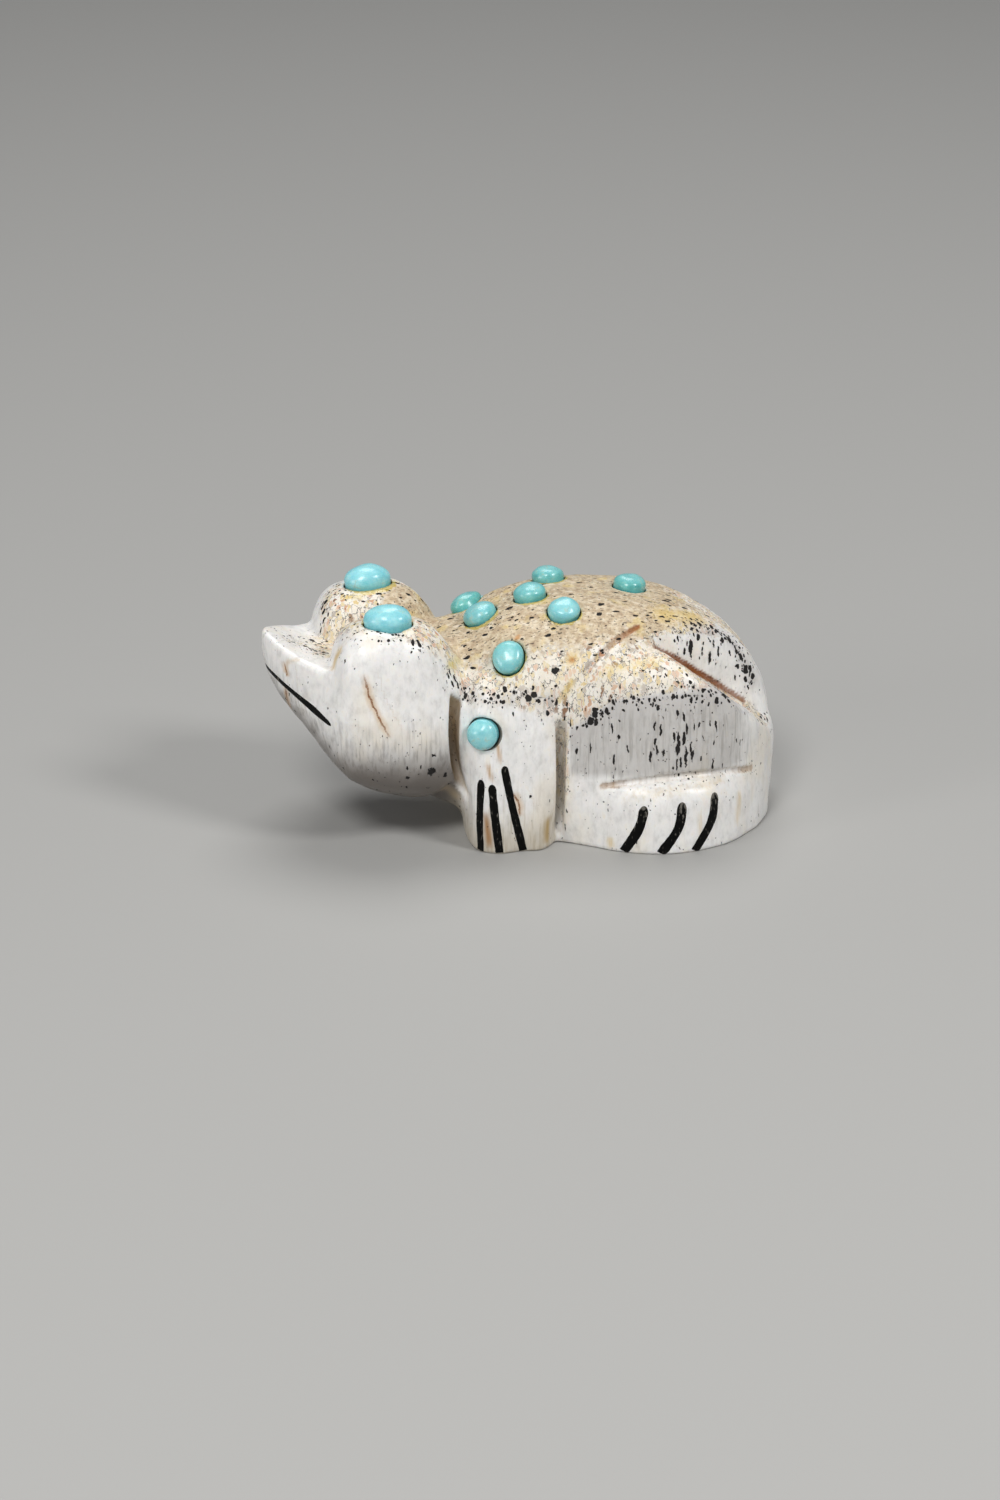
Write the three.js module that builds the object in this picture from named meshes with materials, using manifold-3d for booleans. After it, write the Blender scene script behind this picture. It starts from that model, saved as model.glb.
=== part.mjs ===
// A frog fetish carved from one slab of shed antler, with turquoise cabochons set into
// drilled seats and black inlay lines let into saw cuts. Millimetres, +Z up. The nose
// points to -X and the frog's left side is at -Y.
import * as THREE from 'three';
import { mergeVertices } from 'three/addons/utils/BufferGeometryUtils.js';
import Module from 'manifold-3d';

const wasm = await Module();
wasm.setup();

// The carving's size and its fits, in millimetres
const LENGTH = 62.5;            // nose to rump
const UNIT = LENGTH / 100;      // the form is laid out in hundredths of its length
const REACH = 80;               // further than the form reaches in any direction, in units
const GLUE_GAP = 0.15;          // glue line between an inlay and the walls of its seat

// The rounded masses of the form. Plan and rise are the powers of its outlines from above
// and from the side: 2 is an ellipse, and more is boxier. A positive pitch lifts the nose
// end, and a positive lean tips the top towards the middle. A broad mass is flat on top.
const TORSO = { at: [16, 0, 18.8], half: [34.4, 12.5, 25.8], broad: 16 };
const WITHERS = { at: [6, 0, 28], half: [21, 7.5, 16.7], broad: 12 };
const NAPE = { at: [-14, 0, 26], half: [13, 6, 12.6], broad: 8 };
const THIGHS = { at: [26, 0, 12.5], half: [24.6, 25.8, 26.6], plan: 2.3, rise: 5 };
const THROAT = { at: [-25, 0, 22.5], half: [25, 17, 12], pitch: 0.62 };
const SNOUT = { at: [-28.4, 0, 32.5], half: [22, 17, 13], plan: 1.6, rise: 1.8, pitch: 0.4 };
const CHEEK = { at: [-27.2, 11, 29], half: [10.7, 9, 16], plan: 3.2, rise: 3.2 };
const BROW = { at: [-22, 10.5, 28.5], half: [10.2, 8.2, 15] };
const JOWL = { at: [-20, 8, 21.4], half: [9.8, 10.6, 12], plan: 3, rise: 2.6, pitch: 0.55 };
const FRONT_LEG = { at: [-3.5, 12.6, 12], half: [8.4, 9.6, 22], plan: 3.8, rise: 3.8, lean: 0.06 };
const HIND_FOOT = { at: [26.4, 0, 3.6], half: [23.9, 29.2, 12.2], rise: 5 };
const BLEND = { face: 5, neck: 5, nape: 4, withers: 4, brow: 4, jowl: 6, chest: 3, flank: 5, rump: 5 };

// The ground faces that trim the masses, each as a point and the way it faces. The flanks
// are upright and close in towards the tail. The rump is the slope over the thighs, which
// falls to the back and in towards the flanks.
const CHEST = { at: [-43, 0, 24.5], facing: [-0.58, 0, -0.81] };
const FLANK = { at: [17.6, 18.2, 0], facing: [0.35, 0.94, 0] };
const RUMP = { at: [26, 21, 38.3], facing: [0.61, -0.19, 0.77] };

// The hollow over the snout and between the eyes: a wide cylinder that lies across the head
// and is lowest at this (x, z)
const CROWN = { radius: 40, lowest: [-30, 35.7] };

// The stones, in millimetres but for their places: each is met from above at (x, y) or from
// beside at (x, z), and its long axis is turned by so many degrees from the spine
const SEAT_DEPTH = 1.2;
const SPOT = { length: 3.9, width: 3.7, rise: 1.5, turn: 0 };
const STONES = {
  left_eye: { length: 5.7, width: 4.4, rise: 2.1, turn: -8, above: [-26.7, -11.5] },
  right_eye: { length: 5.7, width: 4.4, rise: 2.1, turn: 8, above: [-26.7, 11.5] },
  left_leg_spot: { ...SPOT, length: 3.7, beside: [-10, 24.4], side: -1 },
  right_leg_spot: { ...SPOT, length: 3.7, beside: [-10, 24.4], side: 1 },
  back_spot_1: { ...SPOT, length: 4.1, turn: 60, above: [-3.8, -14.6] },
  back_spot_2: { ...SPOT, length: 4.2, turn: 20, above: [-6.8, -1.7] },
  back_spot_3: { ...SPOT, length: 4.8, turn: 50, above: [-7.6, 8.5] },
  back_spot_4: { ...SPOT, above: [-3.2, 15.8] },
  back_spot_5: { ...SPOT, above: [3, -1.5] },
  back_spot_6: { ...SPOT, above: [8.4, 7.4] },
  back_spot_7: { ...SPOT, turn: 10, above: [8, -9.8] },
  back_spot_8: { ...SPOT, above: [23.6, 2.4] },
};

// The black lines: a toe line's ends on the foot's outer face as (x, z), its width and how
// far it is let in, and the same for the mouth. The mouth's line lies in a plane that slopes
// down from the tip of the snout, and it turns to either side about a point in that plane.
const TOE = { width: 0.9, depth: 1.1 };
const TOE_LINES = {
  front_toe_line_1: [[-10.4, 15], [-10.1, -2]],
  front_toe_line_2: [[-8.5, 14.4], [-7.1, -2]],
  front_toe_line_3: [[-6.1, 18], [-2.4, -2]],
  hind_toe_line_1: [[20.3, 10.1], [16, -2]],
  hind_toe_line_2: [[27.6, 10.6], [22.8, -2]],
  hind_toe_line_3: [[34.4, 11.4], [29.6, -2]],
};
const MOUTH = { width: 0.65, depth: 1.1, about: [-32, 0, 21.8], slope: 0.62, turn: 1.07 };
const MOUTH_RUN_OUT = 0.6;      // share of the mouth line's depth that is lost by its ends

// The saw cuts behind the cheek and behind the front leg, each made with the rim of a wheel,
// and the lines on the hind leg, cut with a round burr. Widths are in millimetres, and the
// burr's paths are points near the surface.
const WHEEL_CUTS = [
  { width: 1.4, radius: 22.4, at: [-14.2, 36, 19], tilt: 0.055 },
  { width: 1.1, radius: 25.6, at: [5.6, 42.8, 12.6], tilt: 0 },
];
const BURR_DIAMETER = 1.2;
const BURR_LINES = {
  thigh: [[9.6, 19.8, 33.8], [11.5, 19.2, 36], [14.4, 18, 38.3], [18.2, 16, 40.4], [21.7, 14.2, 41.9]],
  rump: [[25, 16.4, 37.5], [30, 14.5, 33.4], [35, 12.6, 29.2], [40, 10.5, 24.8], [44.5, 8.6, 21]],
  foot: [[13, 25, 13], [20, 26, 14.2], [29, 26, 14.8], [37, 23, 14.2], [43.4, 19.2, 13]],
};

// Numbers of facets around and along each shape
const FACETS = {
  trunk: [7, 42, 18], thighs: [30, 12], foot: [28, 10], cheek: [18, 12], leg: [16, 10],
  crown: 48, wheel: 32, burr: 3, stone: 16, dome: 3, toe: 3, mouth: 12,
};

// Helpers of the form: a distance is negative inside, and all lengths are in units
const join = (a, b, blend) => {
  const overlap = Math.max(blend - Math.abs(a - b), 0) / blend;
  return Math.min(a, b) - overlap * overlap * blend / 4;
};
const meet = (a, b, blend) => -join(-a, -b, blend);
const beyond = ({ at, facing }, ...point) => point.reduce((sum, p, i) => sum + (p - at[i]) * facing[i], 0);

// How far out a point of a mass's own axes is, where 1 is its surface
function radiusAt([x, y, z], { plan = 2, rise = 2 }) {
  const least = 1e-6;
  const around = Math.max((Math.abs(x) ** plan + Math.abs(y) ** plan) ** (1 / plan), least);
  const radius = Math.max((around ** rise + Math.abs(z) ** rise) ** (1 / rise), least);
  return { around, radius };
}

function distanceTo(mass, x, y, z) {
  const { at, half, plan = 2, rise = 2, pitch = 0, lean = 0, broad = 0 } = mass;
  const [sp, cp] = [Math.sin(pitch), Math.cos(pitch)];
  const [sl, cl] = [Math.sin(lean), Math.cos(lean)];
  const [dx, ey, ez] = [x - at[0], y - at[1], z - at[2]];
  const dy = Math.hypot(ey * cl + ez * sl, broad) - broad;
  const dz = ez * cl - ey * sl;
  const part = [(dx * cp - dz * sp) / half[0], dy / half[1], (dz * cp + dx * sp) / half[2]];
  const { around, radius } = radiusAt(part, mass);
  const flat = (around / radius) ** (rise - 1);
  const slope = Math.hypot(
    flat * (Math.abs(part[0]) / around) ** (plan - 1) / half[0],
    flat * (Math.abs(part[1]) / around) ** (plan - 1) / half[1],
    (Math.abs(part[2]) / radius) ** (rise - 1) / half[2]);
  return (radius - 1) / slope;
}

// The head and the back as one smooth skin
function trunk(x, y, z) {
  const side = Math.abs(y);
  const near = (mass) => distanceTo(mass, x, side, z);
  const face = join(near(THROAT), near(SNOUT), BLEND.face);
  let back = meet(near(TORSO), beyond(FLANK, x, side, z), BLEND.flank);
  back = join(back, near(WITHERS), BLEND.withers);
  back = meet(back, beyond(CHEST, x, side, z), BLEND.chest);
  return join(join(face, near(NAPE), BLEND.nape), back, BLEND.neck);
}

// Both thighs as one mass, and the right cheek, which carries the eye, slopes to the nape and
// runs down into the jowl
const thighs = (x, y, z) => meet(distanceTo(THIGHS, x, y, z), beyond(RUMP, x, Math.abs(y), z), BLEND.rump);
const cheek = (x, y, z) => join(
  join(distanceTo(CHEEK, x, y, z), distanceTo(BROW, x, y, z), BLEND.brow),
  distanceTo(JOWL, x, y, z), BLEND.jowl);

function form(x, y, z) {
  const side = Math.abs(y);
  const limbs = [FRONT_LEG, HIND_FOOT].map((mass) => distanceTo(mass, x, side, z));
  return Math.min(trunk(x, y, z), thighs(x, y, z), cheek(x, side, z), ...limbs);
}

// Marches inwards along a ray to a surface, and returns its distance from the ray's origin
function surfaceAlong(origin, direction, surface = form) {
  const [mostSteps, closeEnough, caution] = [200, 1e-4, 0.8];
  const at = new THREE.Vector3();
  let t = REACH;
  for (let step = 0; step < mostSteps && t > 0; step += 1) {
    at.copy(origin).addScaledVector(direction, t);
    const d = surface(at.x, at.y, at.z);
    if (Math.abs(d) < closeEnough) break;
    t -= caution * d;
  }
  return t;
}
function surfacePoint(origin, direction, surface) {
  return origin.clone().addScaledVector(direction, surfaceAlong(origin, direction, surface));
}

// The outward normal of the form, taken over a stone's width rather than at one point
function normalAt({ x, y, z }) {
  const e = 2;
  return new THREE.Vector3(
    form(x + e, y, z) - form(x - e, y, z),
    form(x, y + e, z) - form(x, y - e, z),
    form(x, y, z + e) - form(x, y, z - e)).normalize();
}

// Closed geometry with its seams merged, to a solid that can be joined or cut, and back
function bare(geometry) {
  ['normal', 'uv'].forEach((name) => geometry.deleteAttribute(name));
  return mergeVertices(geometry, 1e-4);
}
function solidOf(geometry) {
  const closed = bare(geometry.clone());
  return new wasm.Manifold(new wasm.Mesh({
    numProp: 3,
    vertProperties: new Float32Array(closed.attributes.position.array),
    triVerts: new Uint32Array(closed.index.array),
  }));
}
function geometryOf(solid) {
  const mesh = solid.getMesh();
  const geometry = new THREE.BufferGeometry();
  geometry.setAttribute('position', new THREE.BufferAttribute(mesh.vertProperties, mesh.numProp));
  geometry.setIndex(new THREE.BufferAttribute(mesh.triVerts, 1));
  return geometry;
}

// Moves each vertex of a skin out to a surface along the ray that rayOf gives for it
function moveOut(skin, rayOf, surface) {
  const place = skin.getAttribute('position');
  const vertex = new THREE.Vector3();
  for (let i = 0; i < place.count; i += 1) {
    const { origin, direction } = rayOf(vertex.fromBufferAttribute(place, i));
    const point = surfacePoint(origin, direction, surface).multiplyScalar(UNIT);
    place.setXYZ(i, point.x, point.y, point.z);
  }
  return solidOf(skin);
}

// The trunk is a capsule along the frog's spine, moved out to the trunk's surface
const SPINE = new THREE.QuadraticBezierCurve3(
  new THREE.Vector3(-30, 0, 31), new THREE.Vector3(0, 0, 18), new THREE.Vector3(27, 0, 13));
function trunkSolid() {
  const capsule = new THREE.CapsuleGeometry(1, 2, ...FACETS.trunk).rotateZ(Math.PI / 2);
  return moveOut(bare(capsule), (vertex) => {
    const along = THREE.MathUtils.clamp(vertex.x, -1, 1);
    const direction = vertex.clone().setX(vertex.x - along).normalize();
    return { origin: SPINE.getPoint((along + 1) / 2), direction };
  }, trunk);
}

// A mass is a sphere moved out to a right-hand surface, its own or a larger one around it,
// and on the left side to the mirror image of that
function massSolid(mass, side, facets, surface = (...point) => distanceTo(mass, ...point)) {
  const { at, half, pitch = 0, lean = 0 } = mass;
  const origin = new THREE.Vector3(at[0], side * at[1], at[2]);
  const sphere = new THREE.SphereGeometry(1, ...facets).rotateX(Math.PI / 2).scale(...half);
  return moveOut(bare(sphere.rotateY(pitch).rotateX(side * lean)),
    (vertex) => ({ origin, direction: vertex.clone().normalize() }),
    (x, y, z) => surface(x, side * y, z));
}

const SIDES = [-1, 1];
const scaled = (geometry) => solidOf(geometry.scale(UNIT, UNIT, UNIT));
const crown = scaled(new THREE.CylinderGeometry(CROWN.radius, CROWN.radius, REACH, FACETS.crown)
  .translate(CROWN.lowest[0], 0, CROWN.lowest[1] + CROWN.radius));
const ground = scaled(new THREE.BoxGeometry(2 * REACH, 2 * REACH, REACH).translate(0, 0, -REACH / 2));
let blank = trunkSolid().subtract(crown);
blank = blank.add(massSolid(THIGHS, 1, FACETS.thighs, thighs));
blank = blank.add(massSolid(HIND_FOOT, 1, FACETS.foot));
SIDES.forEach((side) => {
  blank = blank.add(massSolid(CHEEK, side, FACETS.cheek, cheek));
  blank = blank.add(massSolid(FRONT_LEG, side, FACETS.leg));
});
blank = blank.subtract(ground);

// The wheel's cut is a disc let in from the side, and the burr's is a round tube that
// follows the surface
function wheelCut({ width, radius, at, tilt }, side) {
  const disc = new THREE.CylinderGeometry(radius, radius, width / UNIT, FACETS.wheel);
  return scaled(disc.rotateZ(Math.PI / 2).rotateY(-tilt).translate(at[0], side * at[1], at[2]));
}
function burrCut(line, side) {
  const points = line.map(([x, y, z]) => {
    const middle = new THREE.Vector3(x, 0, THIGHS.at[2]);
    const direction = new THREE.Vector3(x, side * y, z).sub(middle).normalize();
    return surfacePoint(middle, direction).multiplyScalar(UNIT);
  });
  const circle = new THREE.Shape().absarc(0, 0, BURR_DIAMETER / 2, 0, 2 * Math.PI);
  const extrudePath = new THREE.CatmullRomCurve3(points);
  const tube = { steps: 2 * points.length, curveSegments: FACETS.burr, extrudePath };
  return solidOf(new THREE.ExtrudeGeometry(circle, tube));
}
let antler = blank;
SIDES.forEach((side) => {
  WHEEL_CUTS.forEach((cut) => {
    antler = antler.subtract(wheelCut(cut, side));
  });
  Object.values(BURR_LINES).forEach((line) => {
    antler = antler.subtract(burrCut(line, side));
  });
});

const finish = (color, roughness) => new THREE.MeshStandardMaterial({ color, roughness, metalness: 0 });
const ANTLER = finish(0xe8e2d6, 0.4);
const TURQUOISE = finish(0x6cc8c4, 0.15);
const INLAY = finish(0x0c0c0c, 0.3);
const frog = new THREE.Group();
function addPiece(name, geometry, material) {
  const piece = new THREE.Mesh(geometry, material);
  piece.name = name;
  frog.add(piece);
}

// A stone is a straight stem with an elliptic dome, and its seat is a straight hole with the
// glue line around it. Both are turned about Y.
function turned(profile, length, width) {
  const points = profile.map(([r, y]) => new THREE.Vector2(r, y));
  return new THREE.LatheGeometry(points, FACETS.stone).scale(length / width, 1, 1);
}
function cabochon({ length, width, rise }) {
  const radius = width / 2;
  const profile = [[0, -SEAT_DEPTH], [radius, -SEAT_DEPTH]];
  for (let i = 0; i < FACETS.dome; i += 1) {
    const angle = (i / FACETS.dome) * Math.PI / 2;
    profile.push([radius * Math.cos(angle), rise * Math.sin(angle)]);
  }
  return turned([...profile, [0, rise]], length, width);
}
function seat({ length, width, rise }) {
  const wide = width + 2 * GLUE_GAP;
  const bottom = -SEAT_DEPTH - GLUE_GAP;
  const profile = [[0, bottom], [wide / 2, bottom], [wide / 2, rise], [0, rise]];
  return turned(profile, length + 2 * GLUE_GAP, wide);
}

// Where a stone meets the surface, with Y along the normal and X along the stone
function stoneFrame({ above, beside, side, turn }) {
  const [origin, direction] = above
    ? [new THREE.Vector3(...above, 0), new THREE.Vector3(0, 0, 1)]
    : [new THREE.Vector3(beside[0], 0, beside[1]), new THREE.Vector3(0, side, 0)];
  const point = surfacePoint(origin, direction);
  const up = normalAt(point);
  const angle = THREE.MathUtils.degToRad(turn);
  const along = new THREE.Vector3(Math.cos(angle), Math.sin(angle), 0);
  const across = new THREE.Vector3().crossVectors(along, up).normalize();
  along.crossVectors(up, across);
  return new THREE.Matrix4().makeBasis(along, up, across).setPosition(point.multiplyScalar(UNIT));
}
Object.entries(STONES).forEach(([name, stone]) => {
  const frame = stoneFrame(stone);
  antler = antler.subtract(solidOf(seat(stone).applyMatrix4(frame)));
  addPiece(name, cabochon(stone).applyMatrix4(frame), TURQUOISE);
});

// A black line is a strip flush with the surface, in a slot that is wider by the glue line
function letIn(name, strip) {
  antler = antler.subtract(strip(GLUE_GAP));
  addPiece(name, geometryOf(blank.intersect(strip(0))), INLAY);
}

// A toe line has a round upper end and runs down to the floor
function toeStrip([[topX, topZ], [lowX, lowZ]], side, margin) {
  const top = surfacePoint(new THREE.Vector3(topX, 0, topZ), new THREE.Vector3(0, side, 0));
  const out = normalAt(top).setZ(0).normalize();
  const up = new THREE.Vector3(topX - lowX, 0, topZ - lowZ);
  up.addScaledVector(out, -up.dot(out));
  const run = up.length() * UNIT;
  const half = TOE.width / 2 + margin;
  const outline = new THREE.Shape();
  outline.moveTo(-half, -run);
  outline.lineTo(half, -run);
  outline.absarc(0, 0, half, 0, Math.PI);
  const depth = 4 * TOE.depth;
  const strip = new THREE.ExtrudeGeometry(outline, { depth, curveSegments: FACETS.toe, bevelEnabled: false });
  strip.translate(0, 0, -TOE.depth - margin);
  up.normalize();
  const frame = new THREE.Matrix4().makeBasis(new THREE.Vector3().crossVectors(up, out), up, out);
  return solidOf(strip.applyMatrix4(frame.setPosition(top.multiplyScalar(UNIT))));
}
Object.entries(TOE_LINES).forEach(([name, line]) => {
  letIn(`left_${name}`, (margin) => toeStrip(line, -1, margin));
  letIn(`right_${name}`, (margin) => toeStrip(line, 1, margin));
});

// The mouth line is a bent strip whose inner edge follows the surface at its depth
function mouthStrip(margin) {
  const { width, depth, about, slope, turn } = MOUTH;
  const origin = new THREE.Vector3(...about);
  const forward = new THREE.Vector3(-Math.cos(slope), 0, Math.sin(slope));
  const across = new THREE.Vector3(0, 1, 0);
  const inner = [];
  const outer = [];
  const end = turn + margin / (surfaceAlong(origin, across) * UNIT);
  for (let i = 0; i <= FACETS.mouth; i += 1) {
    const angle = end * (2 * i / FACETS.mouth - 1);
    const [c, s] = [Math.cos(angle), Math.sin(angle)];
    const direction = forward.clone().multiplyScalar(c).addScaledVector(across, s);
    const reach = surfaceAlong(origin, direction) * UNIT;
    const sunk = depth * (1 - MOUTH_RUN_OUT * (angle / end) ** 4) + margin;
    inner.push(new THREE.Vector2(c, s).multiplyScalar(reach - sunk));
    outer.push(new THREE.Vector2(c, s).multiplyScalar(reach + 2 * depth));
  }
  const outline = new THREE.Shape([...outer, ...inner.reverse()]);
  const thick = width + 2 * margin;
  const strip = new THREE.ExtrudeGeometry(outline, { depth: thick, bevelEnabled: false });
  strip.translate(0, 0, -thick / 2);
  const up = new THREE.Vector3().crossVectors(forward, across);
  const frame = new THREE.Matrix4().makeBasis(forward, across, up);
  return solidOf(strip.applyMatrix4(frame.setPosition(origin.multiplyScalar(UNIT))));
}
letIn('mouth_line', mouthStrip);

addPiece('antler_body', geometryOf(antler), ANTLER);

// The origin is the middle of the footprint, on the floor
const box = new THREE.Box3().setFromObject(frog);
const middle = box.getCenter(new THREE.Vector3());
frog.position.set(-middle.x, -middle.y, -box.min.z);
export default frog;
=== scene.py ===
from functools import partial
from math import cos, pi, radians, sin

import bpy
import numpy as np
from mathutils import Matrix, Vector
from numpy.linalg import norm


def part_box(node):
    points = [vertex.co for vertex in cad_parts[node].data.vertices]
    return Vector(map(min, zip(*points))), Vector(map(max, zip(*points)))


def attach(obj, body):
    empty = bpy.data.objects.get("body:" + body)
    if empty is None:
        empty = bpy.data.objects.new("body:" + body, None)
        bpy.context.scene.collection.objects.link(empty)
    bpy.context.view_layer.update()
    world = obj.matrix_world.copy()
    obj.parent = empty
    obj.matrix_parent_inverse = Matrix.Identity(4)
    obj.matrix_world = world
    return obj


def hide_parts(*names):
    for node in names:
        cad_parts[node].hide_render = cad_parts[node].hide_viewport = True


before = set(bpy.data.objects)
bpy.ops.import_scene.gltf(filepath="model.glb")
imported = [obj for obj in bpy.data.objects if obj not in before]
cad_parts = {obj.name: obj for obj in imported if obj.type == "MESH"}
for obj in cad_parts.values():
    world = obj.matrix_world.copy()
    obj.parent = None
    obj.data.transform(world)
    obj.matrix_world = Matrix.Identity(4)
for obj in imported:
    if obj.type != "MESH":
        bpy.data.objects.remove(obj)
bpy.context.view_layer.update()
scene = bpy.context.scene


# The carving's form. One piece of antler, ground to shape with wheels and burrs and then
# polished. It is laid out in hundredths of the frog's length, with the nose to -X and the
# frog's right side to +Y, and both sides have the same form but for the stones on the back.
LENGTH = 0.0625
UNIT = LENGTH / 100
MM = 0.001

# Each mass has its middle and half sizes. Plan and rise are the powers of its outlines from
# above and from the side, a pitch lifts its nose end, a lean tips its top inwards, and a
# broad one is flat on top.
MASSES = {
    "torso": dict(at=(16, 0, 18.8), half=(34.4, 12.5, 25.8), broad=16),
    "withers": dict(at=(6, 0, 28), half=(21, 7.5, 16.7), broad=12),
    "nape": dict(at=(-14, 0, 26), half=(13, 6, 12.6), broad=8),
    "thighs": dict(at=(26, 0, 12.5), half=(24.6, 25.8, 26.6), plan=2.3, rise=5),
    "throat": dict(at=(-25, 0, 22.5), half=(25, 17, 12), pitch=0.62),
    "snout": dict(at=(-28.4, 0, 32.5), half=(22.5, 17, 13.8), plan=1.6, rise=1.8, pitch=0.43),
    "cheek": dict(at=(-27.2, 11, 29), half=(10.7, 9, 16), plan=3.2, rise=3.2),
    "brow": dict(at=(-22, 10.5, 28.5), half=(10.2, 8.2, 15)),
    "jowl": dict(at=(-20, 8, 21.4), half=(9.8, 10.6, 12), plan=3, rise=2.6, pitch=0.55),
    "leg": dict(at=(-4, 12.6, 12), half=(8.4, 9.6, 22), plan=3.8, rise=3.8, pitch=-0.035, lean=0.06),
    "foot": dict(at=(26.4, 0, 3.6), half=(23.9, 29.2, 12.2), rise=5),
}
CHEST = dict(at=(-43, 0, 24.5), facing=(-0.58, 0, -0.81))
FLANK = dict(at=(17.6, 18.2, 0), facing=(0.35, 0.94, 0))
RUMP = dict(at=(26, 21, 38.3), facing=(0.61, -0.19, 0.77))
CROWN = dict(radius=36, lowest=(-30, 35.7))

# The cuts: wheels let in from the side, and burr lines along points near the surface
WHEEL_CUTS = {
    "neck": dict(width=2, flare=0.35, radius=22.4, at=(-13.2, 36, 19), bow=2.1, bow_at=24),
    "flank": dict(width=1.9, flare=0.1, radius=25.6, at=(5.2, 42.8, 12.6), bow=0, bow_at=0),
}
BURR_RADII = {"thigh": 0.46, "rump": 0.42, "foot": 0.75}
BURR_LINES = {
    "thigh": ((9.6, 19.8, 33.8), (11.5, 19.2, 36), (14.4, 18, 38.3), (18.2, 16, 40.4), (21.7, 14.2, 41.9)),
    "rump": ((24.5, 16.4, 38.3), (29, 14.2, 35), (33.5, 12.4, 31.3), (39, 10.3, 26.9), (44.2, 9, 22.8)),
    "foot": ((13, 25, 13), (20, 26, 14.2), (29, 26, 14.8), (37, 23, 14.2), (43.4, 19.2, 13)),
}
PATH_POINTS = 24
HAUNCH_MIDDLE = 12.5            # height of the axis that the burr lines are measured from


def join(a, b, blend):
    """Two forms as one, with a fillet of about this size between them."""
    overlap = np.maximum(blend - np.abs(a - b), 0) / blend
    return np.minimum(a, b) - overlap * overlap * blend / 4


def meet(a, b, blend):
    """What two forms have in common, with its edge eased by about this size."""
    return -join(-a, -b, blend)


def distance_to(name, x, y, z):
    """The distance to a mass's surface, negative inside it, all in units."""
    mass = MASSES[name]
    at, half = mass["at"], mass["half"]
    plan, rise = mass.get("plan", 2), mass.get("rise", 2)
    pitch, lean, broad = mass.get("pitch", 0), mass.get("lean", 0), mass.get("broad", 0)
    dx, ey, ez = x - at[0], y - at[1], z - at[2]
    dy = np.hypot(ey * cos(lean) + ez * sin(lean), broad) - broad
    dz = ez * cos(lean) - ey * sin(lean)
    px = np.abs(dx * cos(pitch) - dz * sin(pitch)) / half[0]
    py = np.abs(dy) / half[1]
    pz = np.abs(dz * cos(pitch) + dx * sin(pitch)) / half[2]
    around = np.maximum((px**plan + py**plan) ** (1 / plan), 1e-6)
    radius = np.maximum((around**rise + pz**rise) ** (1 / rise), 1e-6)
    flat = (around / radius) ** (rise - 1)
    slope_x = flat * (px / around) ** (plan - 1) / half[0]
    slope_y = flat * (py / around) ** (plan - 1) / half[1]
    slope_z = (pz / radius) ** (rise - 1) / half[2]
    return (radius - 1) / np.sqrt(slope_x**2 + slope_y**2 + slope_z**2)


def beyond(plane, x, y, z):
    return sum((p - a) * n for p, a, n in zip((x, y, z), plane["at"], plane["facing"]))


def blank(x, y, z):
    """The carving before its lines are cut."""
    y = np.abs(y)

    def to(name):
        return distance_to(name, x, y, z)

    face = join(to("throat"), to("snout"), 5)
    back = meet(to("torso"), beyond(FLANK, x, y, z), 3)
    back = join(back, to("withers"), 4)
    back = meet(back, beyond(CHEST, x, y, z), 3)
    form = join(join(face, to("nape"), 4), back, 5)
    hollow = np.hypot(x - CROWN["lowest"][0], z - CROWN["lowest"][1] - CROWN["radius"])
    form = meet(form, CROWN["radius"] - hollow, 1.2)
    cheek = join(to("cheek"), to("brow"), 4)
    cheek = join(cheek, to("jowl"), 6)
    # The crease beside the snout is sharp at the top and fades out below
    fading = np.clip((36 - z) / 8, 0, 1) * np.clip((-20 - x) / 8, 0, 1)
    form = join(form, cheek, 1.2 + 6 * fading)
    form = join(form, to("leg"), 1.6)
    thighs = meet(to("thighs"), beyond(RUMP, x, y, z), 2)
    form = join(form, thighs, 1.2 + 4 * np.clip((x - 38) / 8, 0, 1) + 4 * np.clip((25 - x) / 7, 0, 1))
    return join(form, to("foot"), 1.2)


def wheel_distance(cut, x, y, z):
    """How far outside a wheel's cut a point is, and below 0 in the cut."""
    cx, cy, cz = cut["at"]
    dx = x - cx + cut["bow"] * (1 - np.minimum(((z - cut["bow_at"]) / 12) ** 2, 1.2))
    half = cut["width"] / 2 * (1 + cut["flare"] * (z - cz) / 12)
    rim = np.hypot(np.abs(y) - cy, z - cz) - cut["radius"]
    return meet(np.abs(dx) - half, rim, 0.5)


def from_line(points, place):
    """From a line to each place: the distance, how far along the line it is, the way out
    from the line, and the line's own run there."""
    gap, along = np.full(len(place), np.inf), np.zeros(len(place))
    out, run_there = np.zeros((len(place), 3)), np.zeros((len(place), 3))
    for i, (a, b) in enumerate(zip(points[:-1], points[1:])):
        run = b - a
        share = np.clip((place - a) @ run / (run @ run), 0, 1)
        away = place - a - share[:, None] * run
        size = norm(away, axis=1)
        nearer = size < gap
        gap[nearer] = size[nearer]
        along[nearer] = (i + share[nearer]) / (len(points) - 1)
        out[nearer] = away[nearer]
        run_there[nearer] = run
    return gap, along, out, run_there


def smooth_path(points, count):
    """Points along a smooth curve that passes through these."""
    points = np.asarray(points, float)
    ends = np.vstack([2 * points[0] - points[1], points, 2 * points[-1] - points[-2]])
    path = []
    for t in np.linspace(0, len(points) - 1, count):
        i = min(int(t), len(points) - 2)
        a, b, c, d = ends[i : i + 4]
        s = t - i
        path.append(
            (2 * b + (c - a) * s + (2 * a - 5 * b + 4 * c - d) * s**2 + (3 * b - a - 3 * c + d) * s**3) / 2
        )
    return np.array(path)


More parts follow.
